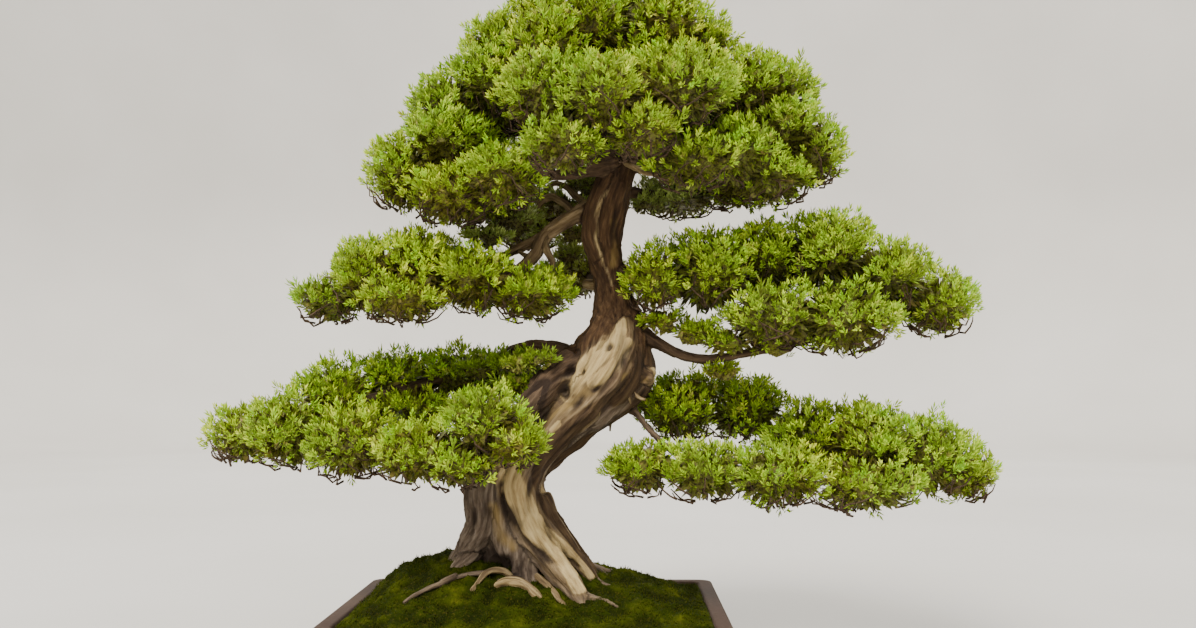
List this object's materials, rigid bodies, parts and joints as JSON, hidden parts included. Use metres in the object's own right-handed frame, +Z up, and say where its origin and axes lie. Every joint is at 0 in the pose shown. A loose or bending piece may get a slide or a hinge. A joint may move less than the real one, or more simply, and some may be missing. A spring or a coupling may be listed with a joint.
{
  "type": "juniper bonsai",
  "caption": "Large juniper bonsai with a leaning, twisted, partly dead trunk and layered pads of foliage, planted under moss in a rectangular stoneware pot on corner feet.",
  "frame": {"origin": "on the ground under the middle of the whole outline", "axes": "+X to the viewer's right along the pot's long side, +Y away from the viewer, +Z up"},
  "size_m": [0.9779, 0.4356, 0.8752],
  "materials": {
    "stoneware": "unglazed purple-brown, slightly satin",
    "drain_mesh": "matt",
    "soil": "loose and granular",
    "moss": "velvety",
    "wood": "furrowed bark and bleached dead wood",
    "foliage": "fine soft needles, lighter at the tips",
    "foliage_shaded": "fine soft needles, bluish"
  },
  "bodies": {
    "root": {"pot": "stoneware", "pot_foot_front_left": "stoneware", "pot_foot_front_right": "stoneware", "pot_foot_back_left": "stoneware", "pot_foot_back_right": "stoneware", "drain_mesh_left": "drain_mesh", "drain_mesh_right": "drain_mesh", "soil": "soil", "moss": "moss", "wood": "wood", "foliage_lower_left": "foliage", "foliage_lower_right": "foliage", "foliage_mid_left": "foliage", "foliage_mid_right": "foliage", "foliage_back_left": "foliage_shaded", "foliage_back_right": "foliage_shaded", "foliage_back_middle": "foliage_shaded", "foliage_back_low": "foliage_shaded", "foliage_crown_left": "foliage", "foliage_crown_right": "foliage", "foliage_crown_front": "foliage", "foliage_crown_top": "foliage", "foliage_crown_back": "foliage"}
  },
  "joints": []
}
